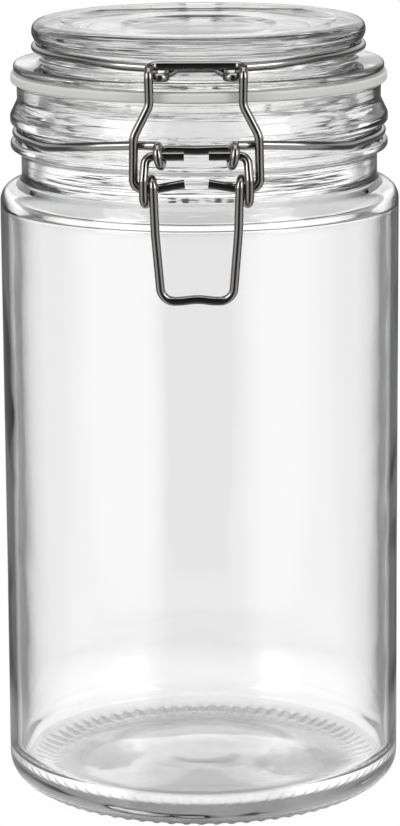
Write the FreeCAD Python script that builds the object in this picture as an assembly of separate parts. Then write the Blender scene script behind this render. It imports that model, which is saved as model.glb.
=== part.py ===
import FreeCAD, Part
import math
import os

# Clip-top glass jar, closed. Millimetres, +Z up, the base centre at the origin.
# The latch faces -Y and the hinge +Y. Radii are about the jar's axis.

V = FreeCAD.Vector
os.makedirs("parts", exist_ok=True)

# ---- sizes that can be set one by one ----
body_radius = 53.0          # outside of the straight body
jar_height = 190.6          # base to the rim of the jar
neck_radius = 47.2          # outside of the neck between its ridges
wall = 3.0                  # glass of the body wall
floor_thickness = 3.0       # glass of the base at its middle
floor_edge = 3.4            # height of the inside floor at its edge
inner_heel = 7.0            # inside corner between wall and heel
heel_band = 8.8             # sloping band round the inside floor
heel_rise = 4.1             # how far that band climbs to the wall
shoulder_drop = 26.4        # rim down to the foot of the neck
ridge_out = 2.8             # how far the two neck ridges stand out
ridge_spacing = 6.4         # from one ridge to the other
heel_radius = 6.2           # outside corner at the base
push_up = 2.4               # hollow under the base
wire = 2.3                  # diameter of the steel wire
seal_radius = 49.75         # outside of the rubber ring
seal_thickness = 2.5
flange_radius = 49.0        # lid flange over the seal
flange_thickness = 2.3
lid_waist_radius = 41.6     # groove that holds the lid wire
lid_disc_radius = 44.1      # disc above the groove
lid_rise = 11.0             # flange top to lid top
plug_depth = 3.6            # plug of the lid down inside the mouth
bar_half_width = 11.9       # half the width of the link at its top bar
link_half_width = 15.9      # half the width of the link at its pins
eye_offset = 9.2            # eye of the neck wire, from the middle
pin_clearance = 0.18        # eye round the lever's pin
handle_drop = 28.4          # link pin down to the bottom of the lever
hinge_half = 5.2            # arm of the lid wire, from the middle, at the hinge

# ---- sizes that follow ----
w = wire / 2
gap = 0.3
shoulder_z = jar_height - shoulder_drop
ridge_low = shoulder_z + 10.8
ridge_high = ridge_low + ridge_spacing
ridge = neck_radius + ridge_out
neck_wire_z = (ridge_low + ridge_high) / 2 - 0.7
neck_wire_radius = neck_radius + w
groove_radius = neck_radius - gap
mouth_radius = neck_radius - 5.0
seal_z = jar_height + gap
flange_z = seal_z + seal_thickness + 0.2
flange_top = flange_z + flange_thickness
lid_top = flange_top + lid_rise
lid_wire_z = flange_top + 4.1
lid_wire_radius = lid_waist_radius + w + gap
plug_radius = mouth_radius - 0.9
plug_z = jar_height - plug_depth
ear_z = flange_top + w + 0.25
bar_y = -(lid_wire_radius + wire + 0.6)
bar_z = ear_z + wire + 0.4
lever_y = -(seal_radius + wire + 1.35)     # lever pins, in the eyes
lever_z = neck_wire_z + 0.7
link_y = lever_y                           # link pins, in the lever's hooks
link_z = lever_z - 8.2
hinge_y = seal_radius + wire + 2.4
hinge_z = jar_height - 4.8
hook_x = link_half_width - w - 3.85        # inner leg of the lever's hooks


def unit(a):
    return a * (1.0 / a.Length)


def rounded_path(points, radii, closed=False):
    """Edges of straight runs joined by tangent arcs; one radius for each corner."""
    n = len(points)
    cut = []
    for i, p in enumerate(points):
        r = radii[i]
        if r <= 0 or (not closed and i in (0, n - 1)):
            cut.append((p, None, p))
            continue
        a = unit(points[i - 1] - p)
        b = unit(points[(i + 1) % n] - p)
        half = a.getAngle(b) / 2
        reach = r / math.tan(half)
        centre = p + unit(a + b) * (r / math.sin(half))
        cut.append((p + a * reach, centre + unit(p - centre) * r, p + b * reach))
    edges = []
    for i in range(n):
        start, middle, end = cut[i]
        if middle is not None:
            edges.append(Part.Arc(start, middle, end).toShape())
        if i + 1 < n or closed:
            nxt = cut[(i + 1) % n][0]
            if (nxt - end).Length > 1e-4:
                edges.append(Part.makeLine(end, nxt))
    return edges


def lathe(corners):
    """A solid of revolution from (radius, height, corner radius) in order."""
    pts = [V(r, 0, z) for r, z, _ in corners]
    loop = Part.Wire(rounded_path(pts, [c for _, _, c in corners], True))
    return Part.Face(loop).revolve(V(0, 0, 0), V(0, 0, 1), 360)


def bent_wire(edges, radius=w):
    """Round steel wire along a path."""
    first = edges[0]
    start = first.valueAt(first.FirstParameter)
    ring = Part.Wire(Part.Circle(start, first.tangentAt(first.FirstParameter), radius).toShape())
    return Part.Wire(edges).makePipeShell([ring], True, False)


def both_sides(points, radii):
    """A path given from its middle outwards, made symmetric about x = 0."""
    skip = 1 if abs(points[0].x) < 1e-9 else 0
    left = [V(-p.x, p.y, p.z) for p in reversed(points[skip:])]
    return left + points, list(reversed(radii[skip:])) + radii


def on_circle(radius, degrees, z, run=0.0):
    """Point at an angle from the front towards +X, then a run along the tangent there."""
    a = math.radians(degrees)
    return V(radius * math.sin(a) + run * math.cos(a), -radius * math.cos(a) + run * math.sin(a), z)


def loop_wire(radius, z, front_deg, rear_deg, lead, lead_radius, front, front_radii, rear, rear_radii):
    """A wire ring with a shaped front and two tails at the back, from one tail to the other."""
    pts, radii = both_sides(front + [on_circle(radius, front_deg, z, -lead), on_circle(radius, front_deg, z)],
                            front_radii + [lead_radius, 0])
    middle = on_circle(radius, (front_deg + rear_deg) / 2, z)
    side = [Part.Arc(on_circle(radius, front_deg, z), middle, on_circle(radius, rear_deg, z)).toShape()]
    side += rounded_path([on_circle(radius, rear_deg, z), on_circle(radius, rear_deg, z, 2.0)] + rear,
                         [0, 6] + rear_radii)
    other = [e.mirror(V(0, 0, 0), V(1, 0, 0)) for e in side]
    return Part.__sortEdges__(rounded_path(pts, radii) + side + other)


def save(shape, name):
    shape.Solids[0].exportStep("parts/" + name + ".step")


# ---- jar glass ----
inner = body_radius - wall
floor_in = push_up + floor_thickness
bearing = body_radius - heel_radius - 0.2
heel_out = body_radius + 0.15
save(lathe([
    (0, push_up, 0), (12.0, push_up, 60.0), (bearing - 11.0, 0.6, 30.0), (bearing - 6.0, 0.6, 0.5),
    (bearing - 5.0, 0, 0.5), (heel_out, 0, heel_radius), (heel_out, heel_radius + 6, 0),
    (body_radius, 60, 0),
    (body_radius, shoulder_z - 1.6, 4.7), (neck_radius, shoulder_z + 0.5, 1.0),
    (neck_radius, ridge_low - 2.9, 0.7), (ridge, ridge_low - 1.4, 1.1),
    (ridge, ridge_low + 0.5, 0.9), (groove_radius, neck_wire_z - 1.2, 0.6),
    (groove_radius, neck_wire_z + 1.2, 0.6), (ridge, ridge_high - 1.2, 1.0),
    (ridge, ridge_high + 0.9, 1.4), (neck_radius + 0.9, ridge_high + 4.8, 2.5),
    (neck_radius + 1.0, jar_height, 0.8), (mouth_radius, jar_height, 1.2),
    (mouth_radius, jar_height - 8.0, 3.0), (mouth_radius + 1.8, shoulder_z + 2.5, 3.0),
    (inner, shoulder_z - 6.0, 4.0), (inner, floor_edge + heel_rise, inner_heel),
    (inner - heel_band, floor_edge, 1.0), (bearing - 16.0, floor_edge, 40.0), (12.0, floor_in, 60.0),
    (0, floor_in, 0)]), "jar_glass")

# ---- neck wire: ring in the groove, an eye each side of the latch, hinge pins at the back ----
# the coil of an eye leans a little, so the wire clears itself where it crosses
coil = wire + pin_clearance
axis = unit(V(1, 0.17, -0.17))
up = unit(V(0, 0, 1) - axis * axis.z)
out = axis.cross(up)
eye = V(eye_offset, lever_y, lever_z)
leave_eye = eye - out * coil + up * (w + 0.2)
over_ridge = neck_wire_radius + 4.3
save(bent_wire(loop_wire(
    neck_wire_radius, neck_wire_z, 66.0, 158.0, 13.5, 30,
    [V(0, leave_eye.y, leave_eye.z - 0.25), leave_eye, eye - (up + out) * coil,
     eye + (out - up) * coil, eye + (up + out) * coil, eye + up * coil - out * 1.3,
     on_circle(over_ridge - 0.9, 17.5, neck_wire_z + 2.9), on_circle(over_ridge, 38.0, neck_wire_z + 1.4)],
    [30, w + 0.15, coil, coil, coil, w + 0.05, 30, 30],
    [V(9.3, hinge_y - 5.9, neck_wire_z), V(9.0, hinge_y, hinge_z), V(1.0, hinge_y, hinge_z)],
    [2.5, 2.2, 0])), "neck_wire")

# ---- lid glass ----
save(lathe([
    (0, plug_z + 12.0, 0), (plug_radius - 9.0, plug_z + 12.0, 5.0), (plug_radius - 5.5, plug_z, 1.5),
    (plug_radius - 1.8, plug_z, 1.2), (plug_radius, plug_z + 3.0, 1.0),
    (plug_radius + 0.2, flange_z, 0.6), (flange_radius, flange_z, 0.9),
    (flange_radius, flange_top, 0.9), (lid_waist_radius, flange_top + 0.3, 1.0),
    (lid_waist_radius, lid_wire_z + 1.4, 0.5), (lid_disc_radius - 0.7, lid_wire_z + 1.9, 0.8),
    (lid_disc_radius, lid_wire_z + 3.6, 2.0), (lid_disc_radius - 0.2, lid_top, 2.4),
    (36.4, lid_top - 0.1, 1.5), (33.4, lid_top - 1.2, 1.5), (20.6, lid_top - 1.2, 0.6),
    (19.0, lid_top - 2.0, 0.6), (0, lid_top - 2.0, 0)]), "lid_glass")

# ---- rubber ring ----
seal_in = plug_radius + 0.6
save(lathe([(seal_in, seal_z, 0.4), (seal_radius, seal_z, 0.6),
            (seal_radius, seal_z + seal_thickness, 0.6), (seal_in, seal_z + seal_thickness, 0.4)]),
     "gasket")

# ---- lid wire: ring in the lid's groove, two ears under the link's bar, two hinge arms ----
ear_x, ear_r, ear_tip = 9.2, w + 0.35, bar_y - w - 1.2
ring_y = -lid_wire_radius
ring_low = lid_wire_z - 1.0                # the ring eases down towards the latch
curl = wire + 0.12
save(bent_wire(loop_wire(
    lid_wire_radius, lid_wire_z, 49.0, 168.0, lid_wire_radius * math.tan(math.radians(7)), 40,
    [V(4.9, ring_y, ring_low), V(ear_x - ear_r, ring_y - 0.9, ear_z),
     V(ear_x - ear_r, ear_tip, ear_z), V(ear_x + ear_r, ear_tip, ear_z),
     V(ear_x + ear_r, ring_y - 1.7, ear_z), V(ear_x + ear_r + 0.1, ring_y + 0.55, ring_low),
     on_circle(lid_wire_radius / math.cos(math.radians(7)), 28.0, ring_low + 0.2)],
    [w + 0.35, w + 0.15, ear_r - 0.02, ear_r - 0.02, w + 0.45, w + 0.05, 40],
    [V(hinge_half, hinge_y - 11.2, lid_wire_z), V(hinge_half, hinge_y + curl, lid_wire_z - 2.4),
     V(hinge_half, hinge_y + curl, hinge_z - curl), V(hinge_half, hinge_y - curl, hinge_z - curl),
     V(hinge_half, hinge_y - curl, hinge_z + 0.8)],
    [2.0, 4.0, curl, curl, 0])), "lid_wire")

# ---- link: vase-shaped loop from the lid's ears down to the lever ----
pts, radii = both_sides(
    [V(bar_half_width, bar_y, bar_z), V(bar_half_width, bar_y - 4.5, bar_z - 1.3),
     V(bar_half_width - 0.15, link_y + 2.3, bar_z - 9.4),
     V(link_half_width - 0.2, link_y + 1.2, bar_z - 17.0),
     V(link_half_width, link_y, link_z), V(hook_x + 0.45 - w, link_y, link_z),
     V(3.0, link_y, link_z + 1.2)],
    [2.2, 1.9, 5.0, 5.0, 2.3, 6.0, 0])
save(bent_wire(rounded_path(pts, radii)), "link")

# ---- lever: handle, hooks round the link's pins, and its own pins in the eyes ----
hook = wire + 0.14
low = link_z - 3.8
handle_z = link_z - handle_drop
pts, radii = both_sides(
    [V(0, link_y - 1.6, handle_z + 0.5), V(4.2, link_y - 1.6, handle_z),
     V(9.0, link_y - 1.6, handle_z), V(10.45, link_y - 2.2, link_z - 11.0),
     V(hook_x, link_y - hook, link_z + hook), V(hook_x + 0.7, link_y + hook, link_z + hook),
     V(hook_x + 1.3, link_y + hook, low), V(hook_x + 2.4, link_y - hook, low),
     V(hook_x + 2.4, link_y - hook, link_z + 2.2), V(hook_x + 1.9, lever_y, lever_z), V(3.1, lever_y, lever_z)],
    [14, 14, 3.6, 40, hook, hook, hook - 0.05, hook - 0.05, 3.0, 2.3, 0])
save(bent_wire(rounded_path(pts, radii)), "lever")
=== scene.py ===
# %% [markdown]
# # A clip-top glass jar
# The jar, its lid, its seal and its wires come from the CAD frame. This notebook gives them
# their looks: turned glass with a knurled base, a milky seal, drawn steel wire, and a plain
# studio round them.

# %% Imports and the CAD frame
import math
import bpy
from mathutils import Matrix, Vector


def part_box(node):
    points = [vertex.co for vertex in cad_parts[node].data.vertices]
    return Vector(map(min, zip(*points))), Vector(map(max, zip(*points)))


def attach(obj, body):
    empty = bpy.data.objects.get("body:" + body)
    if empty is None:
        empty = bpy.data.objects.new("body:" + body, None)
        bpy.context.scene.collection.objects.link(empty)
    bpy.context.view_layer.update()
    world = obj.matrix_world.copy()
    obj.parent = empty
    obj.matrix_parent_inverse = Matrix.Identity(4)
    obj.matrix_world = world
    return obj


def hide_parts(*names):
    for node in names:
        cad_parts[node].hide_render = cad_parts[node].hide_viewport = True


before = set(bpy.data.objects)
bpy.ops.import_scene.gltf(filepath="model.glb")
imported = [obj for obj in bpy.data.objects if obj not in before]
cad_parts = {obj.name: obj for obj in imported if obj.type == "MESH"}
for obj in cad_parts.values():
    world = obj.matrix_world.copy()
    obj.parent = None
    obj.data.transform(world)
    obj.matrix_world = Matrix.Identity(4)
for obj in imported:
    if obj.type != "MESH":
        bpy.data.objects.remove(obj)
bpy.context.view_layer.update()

# %% [markdown]
# ## Sizes
# The main sizes are read off the frame, in metres, so that the turned pieces always fit the
# CAD solids that they stand for. Small sizes are written where a piece first needs them.

# %% Sizes from the frame
MM = 0.001
jar_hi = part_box("jar_glass")[1]
lid_lo, lid_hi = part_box("lid_glass")
seal_lo, seal_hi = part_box("gasket")
HEEL = jar_hi[0]                        # radius of the heel, the widest part of the jar
BODY = HEEL - 0.15 * MM                 # radius of the body
RIM = jar_hi[2]                         # top of the jar
FOOT = RIM - 26.4 * MM                  # foot of the neck
FLANGE = lid_hi[0]                      # radius of the lid's flange
LID_TOP = lid_hi[2]
PLUG = lid_lo[2]                        # underside of the lid's plug
SEAL = max(seal_hi[0], seal_hi[1])      # radius of the seal
print("body", BODY, "rim", RIM, "lid top", LID_TOP, "flange", FLANGE)


# %% [markdown]
# ## Helpers
# A colour is written as its sRGB hex code and turned into linear light once. One function adds
# a node of any kind, to a material or to a Geometry Nodes tree alike, so a formula reads as a
# short list of nodes.

# %% Colour and node helpers
def srgb(code):
    """Linear colour of a code such as #8B8988."""
    def linear(v):
        return v / 12.92 if v <= 0.04045 else ((v + 0.055) / 1.055) ** 2.4
    return tuple(linear(int(code[i:i + 2], 16) / 255) for i in (1, 3, 5)) + (1.0,)


def add(tree, kind, *inputs, at=None, **named):
    """Adds a node. Plain arguments fill its inputs in order, and `at` fills them by number. A
    named one is a setting of the node if it has one of that name, and else the input of that
    name. A socket is linked, and a node is linked by its first output."""
    node = tree.nodes.new(kind)
    filled = {**dict(enumerate(inputs)), **(at or {})}
    for name, value in named.items():
        if hasattr(node, name):
            setattr(node, name, value)
        else:
            filled[name.replace("_", " ")] = value
    for key, value in filled.items():
        if isinstance(value, bpy.types.Node):
            value = value.outputs[0]
        if isinstance(value, bpy.types.NodeSocket):
            tree.links.new(value, node.inputs[key])
        else:
            node.inputs[key].default_value = value
    return node


MATH, VECTOR, SPLIT = "ShaderNodeMath", "ShaderNodeVectorMath", "ShaderNodeSeparateXYZ"
RAMP, SMOOTH = "ShaderNodeMapRange", {"interpolation_type": "SMOOTHSTEP"}
WHITE = (1.0, 1.0, 1.0, 1.0)
print("middle grey #808080 is", round(srgb("#808080")[0], 3), "in linear light")


# %% Material, distance and waves
def material(name):
    """An empty material and its tree."""
    mat = bpy.data.materials.new(name)
    mat.use_nodes = True
    mat.node_tree.nodes.clear()
    return mat, mat.node_tree


def from_axis(tree, place):
    """Distance of a place from the jar's upright axis."""
    level = add(tree, VECTOR, place, (1.0, 1.0, 0.0), operation="MULTIPLY")
    return add(tree, VECTOR, level, operation="LENGTH").outputs["Value"]


def waves(tree, place, size, across, up, detail):
    """Noise over the object with swells of `size` metres, packed closer across and up by the
    factors given."""
    packed = add(tree, VECTOR, place, (across, across, up), operation="MULTIPLY")
    return add(tree, "ShaderNodeTexNoise", packed, Scale=1 / size, Detail=detail)


# %% [markdown]
# ## Turned solids
# Glass like this is pressed and blown in round moulds, so each piece is one outline turned
# about the axis. A Screw modifier could turn it, but making the rings here gives control of
# where the points lie: close together in the corners, and in 1 mm steps where a pattern is
# pressed in.

# %% Outline and lathe
FACET = math.radians(7)                 # turn from point to point round a corner
EASE = 0.5 * MM                         # last point before a corner, so its shading stays short
LONG_RUN = 15 * MM                      # longest straight step on a plain wall


def rounded(corners, fine=0.0):
    """Points of a closed outline from (radius, height, corner radius), rounded at each corner.
    Straight runs below the height `fine` are cut into 1 mm steps."""
    n, pts = len(corners), []
    for i, (r, z, c) in enumerate(corners):
        p = Vector((r, z))
        if c <= 0:
            run = [p]
        else:
            a = (Vector(corners[i - 1][:2]) - p).normalized()
            b = (Vector(corners[(i + 1) % n][:2]) - p).normalized()
            half = a.angle(b) / 2
            centre = p + (a + b).normalized() * (c / math.sin(half))
            u, v = p + a * (c / math.tan(half)) - centre, p + b * (c / math.tan(half)) - centre
            sweep = math.pi - 2 * half
            count = max(2, int(sweep / FACET) + 1)
            run = [centre + (u * math.sin((1 - k / count) * sweep)
                             + v * math.sin(k / count * sweep)) / math.sin(sweep)
                   for k in range(count + 1)]
        if pts:
            start, gap = pts[-1], run[0] - pts[-1]
            if max(start.y, run[0].y) < fine:
                cuts = max(1, round(gap.length / MM))
                pts += [start + gap * (k / cuts) for k in range(1, cuts)]
            elif gap.length > 4 * EASE:
                inset = EASE / gap.length
                cuts = 1 + int(gap.length / LONG_RUN)
                pts += [start + gap * (inset + (1 - 2 * inset) * k / cuts) for k in range(cuts + 1)]
        pts += run
    return pts


def lathe(name, corners, around=240, fine=0.0):
    """A closed mesh turned about Z; the outline starts and ends on the axis, or is a ring."""
    pts = rounded(corners, fine)
    on_axis = corners[0][0] == 0
    verts, faces = [], []
    rings = pts[1:-1] if on_axis else pts
    for p in rings:
        for k in range(around):
            a = 2 * math.pi * k / around
            verts.append((p.x * math.cos(a), p.x * math.sin(a), p.y))
    m = len(rings)
    for i in range(m - 1 if on_axis else m):
        j = (i + 1) % m
        for k in range(around):
            l = (k + 1) % around
            faces.append((i * around + k, i * around + l, j * around + l, j * around + k))
    if on_axis:
        verts += [(0, 0, pts[0].y), (0, 0, pts[-1].y)]
        for k in range(around):
            l = (k + 1) % around
            faces.append((len(verts) - 2, l, k))
            faces.append((len(verts) - 1, (m - 1) * around + k, (m - 1) * around + l))
    mesh = bpy.data.meshes.new(name)
    mesh.from_pydata(verts, [], faces)
    mesh.validate()
    mesh.shade_smooth()
    obj = bpy.data.objects.new(name, mesh)
    bpy.context.scene.collection.objects.link(obj)
    return obj


# %% [markdown]
# ## Container glass
# Soda-lime glass, moulded. It is clear and hard, bends light as glass of IOR 1.5 does, and
# swells a little from place to place, which makes its reflections wander. Its upright edges
# look dark, because there the eye looks along the wall. A plain glass shader in a white studio
# loses those edges, so a Layer Weight paints that shade into the colour there. The neck and the
# lid are pressed and carry fine level streaks, and a painted grey in the colour shades them and
# the shoulder's bend.

# %% Sizes of the glass finish
SWELL = 1 / 26.0                        # 38 mm from one soft swell of the wall to the next
STREAK = 1 / 60.0                       # 17 mm, which the factors below make 56 mm by 2.4 mm
STREAK_ACROSS, STREAK_UP = 0.3, 7.0
EDGE_STOPS = (0.46, 0.60, 0.74)         # how edge-on the wall is at each tone
# painted shade: the grey and the dark edge colour stand for the dark that the glass's edges show
TINT, PAINTED_GREY, PAINTED_EDGE = "#F4F4F4", "#D8D9D8", "#272928"
# painted shade: a greyer colour for the pressed neck and lid and for the shoulder's bend
PRESSED_PAINTED_GREY, BEND_PAINTED_GREY = "#FAFAFA", "#E2E3E2"
RIPPLE, STREAKS = 0.4, 0.25             # strength of the swells and of the streaks
ABSORB = 18.0                           # how much the glass dims light along its depth
FROST_LOW, FROST = 2.0 * MM, 0.6        # the bars under the base scatter light
print("swells every", round(SWELL / MM), "mm")
print("streaks every", round(STREAK / STREAK_UP / MM, 1), "mm")


# %% Container glass
def painted_edge_shade(tree, upright):
    """Painted shade: tint, grey or dark edge colour as the wall turns edge-on, on upright surfaces.
    """
    facing = add(tree, "ShaderNodeLayerWeight", Blend=0.5).outputs["Facing"]
    ramp = add(tree, "ShaderNodeValToRGB", add(tree, MATH, facing, upright, operation="MULTIPLY"))
    bar = ramp.color_ramp
    bar.elements[0].position, bar.elements[0].color = EDGE_STOPS[0], srgb(TINT)
    bar.elements[1].position, bar.elements[1].color = EDGE_STOPS[2], srgb(PAINTED_EDGE)
    bar.elements.new(EDGE_STOPS[1]).color = srgb(PAINTED_GREY)
    return ramp


def container_glass(name):
    mat, tree = material(name)
    place = add(tree, "ShaderNodeTexCoord").outputs["Object"]
    height = add(tree, SPLIT, place).outputs["Z"]

    # where the glass is pressed, where it bends at the shoulder, and where it stands upright
    pressed = add(tree, RAMP, height, FOOT - 6 * MM, FOOT + 3 * MM, **SMOOTH)
    bend = add(tree, RAMP, height, FOOT - 9 * MM, FOOT - 4 * MM, 0.0,
               add(tree, RAMP, height, FOOT + 3 * MM, FOOT, **SMOOTH), **SMOOTH)
    lie = add(tree, SPLIT, add(tree, "ShaderNodeNewGeometry").outputs["Normal"]).outputs["Z"]
    flat = add(tree, MATH, add(tree, MATH, lie, operation="ABSOLUTE"), 4.0, operation="POWER")
    upright = add(tree, MATH, add(tree, MATH, 1.0, flat, operation="SUBTRACT"),
                  add(tree, RAMP, height, 2 * MM, 14 * MM, 0.4, 1.0, **SMOOTH),
                  operation="MULTIPLY")

    # colour: the painted edge shade, and a painted grey where pressed and at the bend
    painted_grey = add(tree, "ShaderNodeMix", bend, data_type="RGBA",
                at={6: srgb(PRESSED_PAINTED_GREY), 7: srgb(BEND_PAINTED_GREY)}).outputs[2]
    tone = add(tree, "ShaderNodeMix", add(tree, MATH, pressed, bend, operation="MAXIMUM"),
               data_type="RGBA", blend_type="MULTIPLY",
               at={6: painted_edge_shade(tree, upright), 7: painted_grey}).outputs[2]

    # relief: soft swells all over, level streaks where pressed
    soft = add(tree, "ShaderNodeBump", Height=waves(tree, place, SWELL, 1, 1, 1.5),
               Strength=RIPPLE, Distance=2 * MM)
    strength = add(tree, MATH, add(tree, MATH, pressed, STREAKS, operation="MULTIPLY"), upright,
                   operation="MULTIPLY")
    streaks = waves(tree, place, STREAK, STREAK_ACROSS, STREAK_UP, 3.0)
    relief = add(tree, "ShaderNodeBump", Height=streaks, Strength=strength, Normal=soft,
                 Distance=1 * MM)

    # roughness: frost on the bars under the base, hardly any on the pressed glass
    bars = add(tree, RAMP, height, 3.2 * MM, FROST_LOW, 0.0,
               add(tree, RAMP, from_axis(tree, place), 30 * MM, 38 * MM, 0.0, FROST, **SMOOTH),
               **SMOOTH)
    frost = add(tree, MATH, pressed, 0.06, bars, operation="MULTIPLY_ADD")
    shader = add(tree, "ShaderNodeBsdfPrincipled", Base_Color=tone, Normal=relief,
                 Roughness=frost, IOR=1.5, Transmission_Weight=1.0)
    inside = add(tree, "ShaderNodeVolumeAbsorption", Color=srgb("#C0C1C0"), Density=ABSORB)
    add(tree, "ShaderNodeOutputMaterial", Surface=shader, Volume=inside)
    return mat


glass = container_glass("clear container glass, moulded")
print("glass has", len(glass.node_tree.nodes), "nodes")


# %% [markdown]
# ## Steel wire and silicone
# The wire is stainless steel, drawn through a die, which leaves it bright with a slight haze:
# a metal with a low roughness. The seal is moulded silicone rubber. It is milky, because light
# enters it and scatters a few millimetres, which subsurface scattering gives, and its skin is
# satin.

# %% Steel wire
steel, tree = material("stainless steel wire, drawn")
drawn = add(tree, "ShaderNodeBsdfPrincipled", Base_Color=srgb("#8B8988"), Metallic=1.0,
            Roughness=0.16)
add(tree, "ShaderNodeOutputMaterial", Surface=drawn)
print(steel.name)

# %% Silicone
rubber, tree = material("translucent silicone rubber, moulded")
milky = add(tree, "ShaderNodeBsdfPrincipled", Base_Color=srgb("#C3C4C0"), Roughness=0.42,
            IOR=1.41, Subsurface_Weight=0.4, Subsurface_Radius=(3 * MM, 3 * MM, 3 * MM))
add(tree, "ShaderNodeOutputMaterial", Surface=milky)
print(rubber.name)

# %% [markdown]
# ## The jar
# The outline is that of the CAD solid, with the base lifted by the depth of the knurl so that
# the bars end on the level the jar stands on. It is turned finer than the solid, because glass
# shows every facet.

# %% Sizes of the jar
KNURL = 0.4 * MM                        # depth of the bars under the bearing ring
NECK = BODY - 5.8 * MM
LOW = FOOT + 10.8 * MM                  # lower ridge
HIGH = LOW + 6.4 * MM                   # upper ridge
GROOVE = (LOW + HIGH) / 2 - 0.7 * MM
OUT = NECK + 2.8 * MM                   # radius of the ridges
MOUTH = NECK - 5.0 * MM
INNER = BODY - 3.0 * MM                 # radius inside the wall
BEARING = BODY - 6.4 * MM               # radius of the ring it stands on
PUSH, FLOOR, FLOOR_EDGE = 2.4 * MM, 5.4 * MM, 3.4 * MM
HEEL_BAND, HEEL_RISE = 8.8 * MM, 4.1 * MM
print("neck", round(NECK / MM, 2), "mm, ridges", round(OUT / MM, 2), "mm from the axis")

# %% Jar outline
under = [(0, PUSH, 0), (12 * MM, PUSH, 60 * MM), (BEARING - 11 * MM, KNURL + 0.1 * MM, 30 * MM)]
wall = [(HEEL, KNURL, 6.0 * MM), (HEEL, 12 * MM, 0), (BODY, 60 * MM, 0),
        (BODY, FOOT - 1.6 * MM, 4.7 * MM), (NECK, FOOT + 0.5 * MM, 1.0 * MM)]
ridges = [(NECK, LOW - 2.9 * MM, 0.7 * MM), (OUT, LOW - 1.4 * MM, 1.1 * MM),
          (OUT, LOW + 0.5 * MM, 0.9 * MM), (NECK - 0.3 * MM, GROOVE - 1.2 * MM, 0.6 * MM),
          (NECK - 0.3 * MM, GROOVE + 1.2 * MM, 0.6 * MM), (OUT, HIGH - 1.2 * MM, 1.0 * MM),
          (OUT, HIGH + 0.9 * MM, 1.4 * MM), (NECK + 0.9 * MM, HIGH + 4.8 * MM, 2.5 * MM)]
mouth = [(NECK + 1.0 * MM, RIM, 0.8 * MM), (MOUTH, RIM, 1.2 * MM),
         (MOUTH, RIM - 8.0 * MM, 3.0 * MM), (MOUTH + 1.8 * MM, FOOT + 2.5 * MM, 3.0 * MM)]
inside = [(INNER, FOOT - 6.0 * MM, 4.0 * MM), (INNER, FLOOR_EDGE + HEEL_RISE, 7.0 * MM),
          (INNER - HEEL_BAND, FLOOR_EDGE, 1.0 * MM), (BEARING - 16 * MM, FLOOR_EDGE, 40 * MM),
          (12 * MM, FLOOR, 60 * MM), (0, FLOOR, 0)]
jar = lathe("jar_glass_turned", under + wall + ridges + mouth + inside, around=608, fine=2 * MM)
print("jar faces", len(jar.data.polygons))


# %% [markdown]
# ## The knurl
# The mould leaves a ring of short bars under the heel, so that the jar rests on many small
# points and scratches only there. They repeat round the axis, so Geometry Nodes press them into
# the turned mesh: a cosine of the angle makes the bars, and smooth steps end them inside,
# outside and above. The sizes are named inputs, so another jar can use the tree.

# %% Knurl tree
def knurl_tree(bars, depth, inner, outer):
    tree = bpy.data.node_groups.new("bearing ring knurl", "GeometryNodeTree")
    face = tree.interface
    face.new_socket("Geometry", in_out="INPUT", socket_type="NodeSocketGeometry")
    face.new_socket("Geometry", in_out="OUTPUT", socket_type="NodeSocketGeometry")
    for label, value in (("Bars", bars), ("Depth", depth), ("Inner radius", inner),
                         ("Outer radius", outer)):
        face.new_socket(label, in_out="INPUT", socket_type="NodeSocketFloat").default_value = value
    face.new_socket("Material", in_out="INPUT", socket_type="NodeSocketMaterial")
    given = add(tree, "NodeGroupInput").outputs

    place = add(tree, "GeometryNodeInputPosition")
    x, y, z = add(tree, SPLIT, place).outputs
    radius = from_axis(tree, place)
    turn = add(tree, MATH, y, x, operation="ARCTAN2")
    wave = add(tree, MATH, add(tree, MATH, turn, given["Bars"], operation="MULTIPLY"),
               operation="COSINE")
    full = add(tree, MATH, given["Inner radius"], 1.6 * MM, operation="ADD")
    end = add(tree, MATH, given["Outer radius"], 1.2 * MM, operation="ADD")
    drop = add(tree, MATH, given["Depth"], -1.0, operation="MULTIPLY")
    for value, start, stop in ((wave, -0.6, 1.0), (radius, given["Inner radius"], full),
                               (radius, end, given["Outer radius"]), (z, 3.0 * MM, 2.2 * MM)):
        drop = add(tree, MATH, drop, add(tree, RAMP, value, start, stop, **SMOOTH),
                   operation="MULTIPLY")
    move = add(tree, "GeometryNodeSetPosition", Geometry=given["Geometry"],
               Offset=add(tree, "ShaderNodeCombineXYZ", Z=drop))
    real = add(tree, "GeometryNodeRealizeInstances", move)
    paint = add(tree, "GeometryNodeSetMaterial", Geometry=real, Material=given["Material"])
    add(tree, "NodeGroupOutput", paint)
    return tree


# %% Knurl on the jar
def bake(obj, tree, values):
    """Runs a node tree on an object with inputs by name, and keeps the result as its mesh."""
    mod = obj.modifiers.new(tree.name, "NODES")
    mod.node_group = tree
    for item in tree.interface.items_tree:
        if item.in_out == "INPUT" and item.name in values:
            mod[item.identifier] = values[item.name]
    deps = bpy.context.evaluated_depsgraph_get()
    mesh = bpy.data.meshes.new_from_object(obj.evaluated_get(deps))
    obj.modifiers.remove(mod)
    obj.data = mesh
    mesh.shade_smooth()


knurl = knurl_tree(76.0, KNURL, HEEL - 13.0 * MM, HEEL - 4.6 * MM)
bake(jar, knurl, {"Material": glass})
print("knurled jar", [round(c, 5) for c in jar.bound_box[0]], len(jar.data.polygons))

# %% [markdown]
# ## The lid and the seal
# The lid is one pressed disc: a plug that drops into the mouth, a flange that lies on the
# seal, a waist for its wire, and a raised disc with two shallow steps on top. The seal is a flat
# ring, so its outline is a small rounded rectangle turned about the axis.

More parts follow.
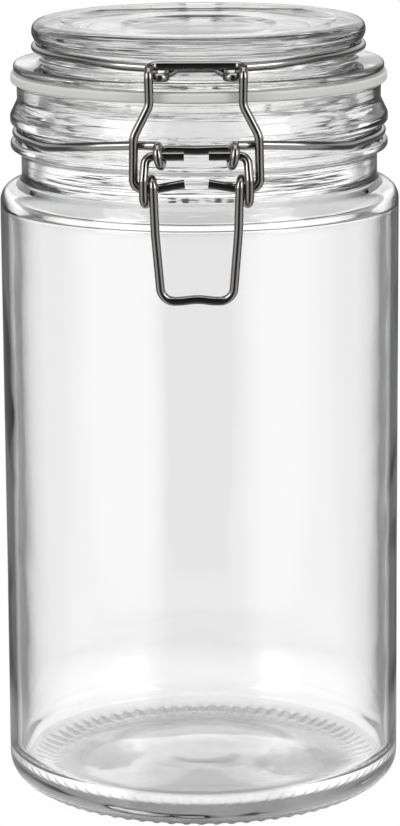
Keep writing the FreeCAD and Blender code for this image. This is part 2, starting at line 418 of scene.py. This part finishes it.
# %% Lid outline
PLUG_OUT = MOUTH - 0.9 * MM             # radius of the plug
SEAT = seal_hi[2] + 0.2 * MM            # underside of the flange
FLANGE_TOP = SEAT + 2.3 * MM
WIRE = FLANGE_TOP + 4.1 * MM            # level of the lid's wire
WAIST, DISC = 41.6 * MM, 44.1 * MM
below = [(0, PLUG + 12 * MM, 0), (PLUG_OUT - 9 * MM, PLUG + 12 * MM, 5 * MM),
         (PLUG_OUT - 5.5 * MM, PLUG, 1.5 * MM), (PLUG_OUT - 1.8 * MM, PLUG, 1.2 * MM),
         (PLUG_OUT, PLUG + 3 * MM, 1.0 * MM), (PLUG_OUT + 0.2 * MM, SEAT, 0.6 * MM)]
rim = [(FLANGE, SEAT, 0.9 * MM), (FLANGE, FLANGE_TOP, 0.9 * MM),
       (WAIST, FLANGE_TOP + 0.3 * MM, 1.0 * MM), (WAIST, WIRE + 1.4 * MM, 0.5 * MM)]
disc = [(DISC - 0.7 * MM, WIRE + 1.9 * MM, 0.8 * MM), (DISC, WIRE + 3.6 * MM, 2.0 * MM),
        (DISC - 0.2 * MM, LID_TOP, 2.4 * MM), (36.4 * MM, LID_TOP - 0.1 * MM, 1.5 * MM),
        (33.4 * MM, LID_TOP - 1.2 * MM, 1.5 * MM), (20.6 * MM, LID_TOP - 1.2 * MM, 0.6 * MM),
        (19.0 * MM, LID_TOP - 2.0 * MM, 0.6 * MM), (0, LID_TOP - 2.0 * MM, 0)]
lid = lathe("lid_glass_turned", below + rim + disc, around=320)
lid.data.materials.append(glass)
print("lid faces", len(lid.data.polygons))

# %% Seal
SEAL_IN = PLUG_OUT + 0.6 * MM
ring = lathe("seal_ring", [
    (SEAL_IN, seal_lo[2], 0.4 * MM), (SEAL, seal_lo[2], 0.6 * MM),
    (SEAL, seal_hi[2], 0.6 * MM), (SEAL_IN, seal_hi[2], 0.4 * MM)])
ring.data.materials.append(rubber)
print("seal faces", len(ring.data.polygons))

# %% [markdown]
# ## Joining the looks to the frame
# The turned pieces ride on their bodies and stand for the CAD nodes. The wires are the CAD
# nodes themselves, in steel, because a swept round wire needs nothing more.

# %% Ride and replace
for piece, body, node, slot in ((jar, "jar", "jar_glass", "clear_glass"),
                                (lid, "lid", "lid_glass", "clear_glass"),
                                (ring, "lid", "gasket", "seal_rubber")):
    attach(piece, body)
    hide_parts(node)
for node in ("neck_wire", "lid_wire", "link", "lever"):
    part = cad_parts[node]
    part.data.materials.clear()
    part.data.materials.append(steel)
    part.data.shade_smooth()
    print(node, "in", steel.name)

# %% [markdown]
# ## The studio
# A pale floor, a white surround and soft lamps. Glass has no colour of its own and shows only
# what stands round it, so the surround has a darker gap on the latch's side, which gives the
# glass a soft band down its middle, and bright strips beside the gap for the wire. The levels
# depend on the kind of ray, so the lamps needn't be brighter to make the background white.

# %% What metal and glass see
GAP_TURN = math.radians(2.6)            # the gap stands a little to the right of the latch
GAP_DARK, GAP_THROUGH = 0.96, 0.34      # its depth, and how much less of it shows through glass


def studio_levels(tree, x, y, path):
    """The dark gap and the bright strips in a direction (or at a place) x, y about the jar."""
    back = add(tree, MATH, y, -1.0, operation="MULTIPLY")
    turn = add(tree, MATH, add(tree, MATH, x, back, operation="ARCTAN2"), GAP_TURN,
               operation="SUBTRACT")
    turn = add(tree, MATH, turn, operation="ABSOLUTE")
    shade = add(tree, RAMP, turn, math.radians(25), math.radians(21.5), 0.0, GAP_DARK, **SMOOTH)
    less = add(tree, MATH, path["Is Transmission Ray"], GAP_THROUGH, operation="MULTIPLY")
    bounced = add(tree, MATH, add(tree, MATH, path["Glossy Depth"], 1.0, operation="MINIMUM"),
                  add(tree, MATH, 1.0, less, operation="SUBTRACT"), operation="MULTIPLY")
    gap = add(tree, MATH, 1.0, add(tree, MATH, shade, bounced, operation="MULTIPLY"),
              operation="SUBTRACT")
    fall = add(tree, RAMP, turn, math.radians(70), math.radians(90), 1.0, 0.0, **SMOOTH)
    strip = add(tree, RAMP, turn, math.radians(22), math.radians(34), 0.0, fall, **SMOOTH)
    return gap, strip


def mixed_level(tree, path, clear, shine, eye):
    """One level for each kind of ray: through glass, off metal, straight from the eye."""
    off = add(tree, MATH, shine, path["Is Glossy Ray"], operation="MULTIPLY")
    level = add(tree, MATH, clear, path["Is Transmission Ray"], off, operation="MULTIPLY_ADD")
    straight = add(tree, MATH, path["Is Camera Ray"], eye, operation="MULTIPLY")
    return add(tree, MATH, level, straight, operation="MAXIMUM")


def any_of(tree, path):
    """1 for a ray from the eye, off a shiny surface or through glass, and 0 for soft light."""
    both = add(tree, MATH, path["Is Glossy Ray"], path["Is Transmission Ray"],
               operation="MAXIMUM")
    return add(tree, MATH, both, path["Is Camera Ray"], operation="MAXIMUM")


print("gap", round(math.degrees(GAP_TURN), 1), "degrees from the latch")

# %% [markdown]
# ## The floor
# White laminate. A plain diffuse part takes the jar's shadow, and an emission of the studio's
# level keeps the rest white. Under the jar the light is dimmer, and two soft patches of painted
# shade, in the floor's level and colour, show in the base as dark blotches.

# %% Floor levels
NEAR, AWAY = 90 * MM, 140 * MM          # the floor's own level fades out between these
UNDER_IN, UNDER_OUT = 39 * MM, 47 * MM  # edge of the dim disc under the base
RAGGED = 1 / 150.0                      # 6.7 mm, size of the ragged edge of a dark patch


def painted_patch(tree, place, ragged, centre, half):
    """Soft oval of painted shade on the floor, from 0 outside to 1 at its middle."""
    out = add(tree, VECTOR, add(tree, VECTOR, place, (*centre, 0.0), operation="SUBTRACT"),
              (*half, 1.0), operation="DIVIDE")
    spread = add(tree, VECTOR, out, out, operation="DOT_PRODUCT").outputs["Value"]
    rough = add(tree, MATH, ragged, 1.6, spread, operation="MULTIPLY_ADD")
    return add(tree, RAMP, rough, 1.9, 1.2, **SMOOTH)


mat, tree = material("studio floor, white laminate")
path = add(tree, "ShaderNodeLightPath").outputs
place = add(tree, "ShaderNodeTexCoord").outputs["Object"]
x, y, z = add(tree, SPLIT, place).outputs
gap, strip = studio_levels(tree, x, y, path)
away = from_axis(tree, place)
far = add(tree, RAMP, away, NEAR, AWAY, **SMOOTH)
near = add(tree, MATH, 1.0, far, operation="SUBTRACT")
ragged = add(tree, "ShaderNodeTexNoise", place, Scale=1 / RAGGED, Detail=2.0)
# painted shade: two soft dark patches under the jar, which the base shows as dark blotches
painted_patches = add(tree, MATH,
           painted_patch(tree, place, ragged, (-26.5 * MM, 6 * MM), (10 * MM, 14 * MM)),
           painted_patch(tree, place, ragged, (27.5 * MM, -1 * MM), (15 * MM, 15 * MM)),
           operation="MAXIMUM")
print("floor levels", len(tree.nodes), "nodes")

# %% Floor
clear = add(tree, MATH, gap, near, operation="MAXIMUM")
lit = add(tree, MATH, clear, add(tree, MATH, strip, 0.8, 0.15, operation="MULTIPLY_ADD"),
          operation="MULTIPLY")
shine = add(tree, MATH, lit, add(tree, MATH, near, 0.4, operation="MULTIPLY"),
            operation="MAXIMUM")
# the painted patches dim the floor's level here and darken its colour below
lifted = add(tree, MATH, 1.0, add(tree, MATH, painted_patches, 0.9, operation="MULTIPLY"),
             operation="SUBTRACT")
clear = add(tree, MATH, clear, lifted, operation="MULTIPLY")
glow = add(tree, "ShaderNodeEmission", Color=WHITE,
           Strength=mixed_level(tree, path, clear, shine, 1.02))
tone = add(tree, "ShaderNodeMix", painted_patches, data_type="RGBA",
           at={6: srgb("#E7E7E7"), 7: srgb("#3C3C3C")}).outputs[2]
plain = add(tree, "ShaderNodeBsdfDiffuse", Color=tone)
under = add(tree, RAMP, away, UNDER_OUT, UNDER_IN, 0.14, 0.66, **SMOOTH)
dimmed = add(tree, MATH, near, add(tree, MATH, path["Is Transmission Ray"], under,
                                   operation="MULTIPLY"), operation="MULTIPLY")
share = add(tree, MATH, add(tree, MATH, any_of(tree, path), 0.94, operation="MULTIPLY"), dimmed,
            operation="SUBTRACT")
mix = add(tree, "ShaderNodeMixShader", share, plain, glow)
add(tree, "ShaderNodeOutputMaterial", Surface=mix)
bpy.ops.mesh.primitive_plane_add(size=12, location=(0, 0, 0))
floor = bpy.context.object
floor.name = "studio_floor"
floor.data.materials.append(mat)
print("floor", [round(v, 1) for v in floor.dimensions[:2]], "m")

# %% Surround
world = bpy.data.worlds.new("studio surround")
bpy.context.scene.world = world
world.use_nodes = True
tree = world.node_tree
tree.nodes.clear()
path = add(tree, "ShaderNodeLightPath").outputs
towards = add(tree, "ShaderNodeTexCoord").outputs["Generated"]
x, y, z = add(tree, SPLIT, towards).outputs
gap, strip = studio_levels(tree, x, y, path)
ceiling = add(tree, RAMP, z, 0.3, 0.6, 1.0, 0.35, **SMOOTH)
clear = add(tree, MATH, gap, ceiling, operation="MULTIPLY")
above = add(tree, MATH, add(tree, RAMP, z, -0.02, 0.12, 0.1, 1.0, **SMOOTH),
            add(tree, RAMP, z, 0.35, 0.55, 1.0, 0.15, **SMOOTH), operation="MULTIPLY")
shine = add(tree, MATH, add(tree, MATH, strip, 0.95, operation="MULTIPLY"), above,
            operation="MAXIMUM")
shine = add(tree, MATH, shine, gap, operation="MULTIPLY")
seen = add(tree, "ShaderNodeBackground", Color=WHITE,
           Strength=mixed_level(tree, path, clear, shine, 1.0))
soft = add(tree, "ShaderNodeBackground", Color=WHITE, Strength=0.6)
mix = add(tree, "ShaderNodeMixShader", any_of(tree, path), soft, seen)
add(tree, "ShaderNodeOutputWorld", Surface=mix)
print("surround", len(tree.nodes), "nodes")


# %% Lamps
def softbox(name, place, size, watts, aim=(0, 0, 0.1)):
    lamp = bpy.data.lights.new(name, "AREA")
    lamp.shape = "RECTANGLE"
    lamp.size, lamp.size_y = size
    lamp.energy = watts
    obj = bpy.data.objects.new(name, lamp)
    obj.location = place
    obj.rotation_euler = (Vector(aim) - Vector(place)).to_track_quat("-Z", "Y").to_euler()
    bpy.context.scene.collection.objects.link(obj)
    print(name, watts, "W")


softbox("left softbox", (-1.1, -0.9, 0.9), (0.6, 1.0), 9)
softbox("right softbox", (1.1, -0.9, 0.9), (0.6, 1.0), 9)
softbox("top softbox", (0.0, 0.2, 1.5), (1.2, 1.2), 8)

# %% [markdown]
# ## The camera
# A long lens a little above the jar, looking slightly down, with the latch turned a touch left.
# Its place is given as a distance and angles about the jar, because those can be adjusted one
# by one.

# %% Camera
DISTANCE, HEIGHT, ASIDE = 0.915, 0.3065, -0.0003
DOWN, TURN, ROLL = 12.7, 0.8, 0.415     # degrees
cam = bpy.data.cameras.new("camera")
cam.lens = 151.28
cam.sensor_width = 36.0
cam.clip_start = 0.05
eye = bpy.data.objects.new("camera", cam)
bpy.context.scene.collection.objects.link(eye)
eye.matrix_world = (Matrix.Rotation(math.radians(TURN), 4, "Z")
                    @ Matrix.Translation((ASIDE, -DISTANCE, HEIGHT))
                    @ Matrix.Rotation(math.radians(90 - DOWN), 4, "X")
                    @ Matrix.Rotation(math.radians(-ROLL), 4, "Z"))
bpy.context.scene.camera = eye
bpy.context.scene.view_settings.view_transform = "Standard"
print("camera", cam.lens, "mm lens,", DISTANCE, "m away")
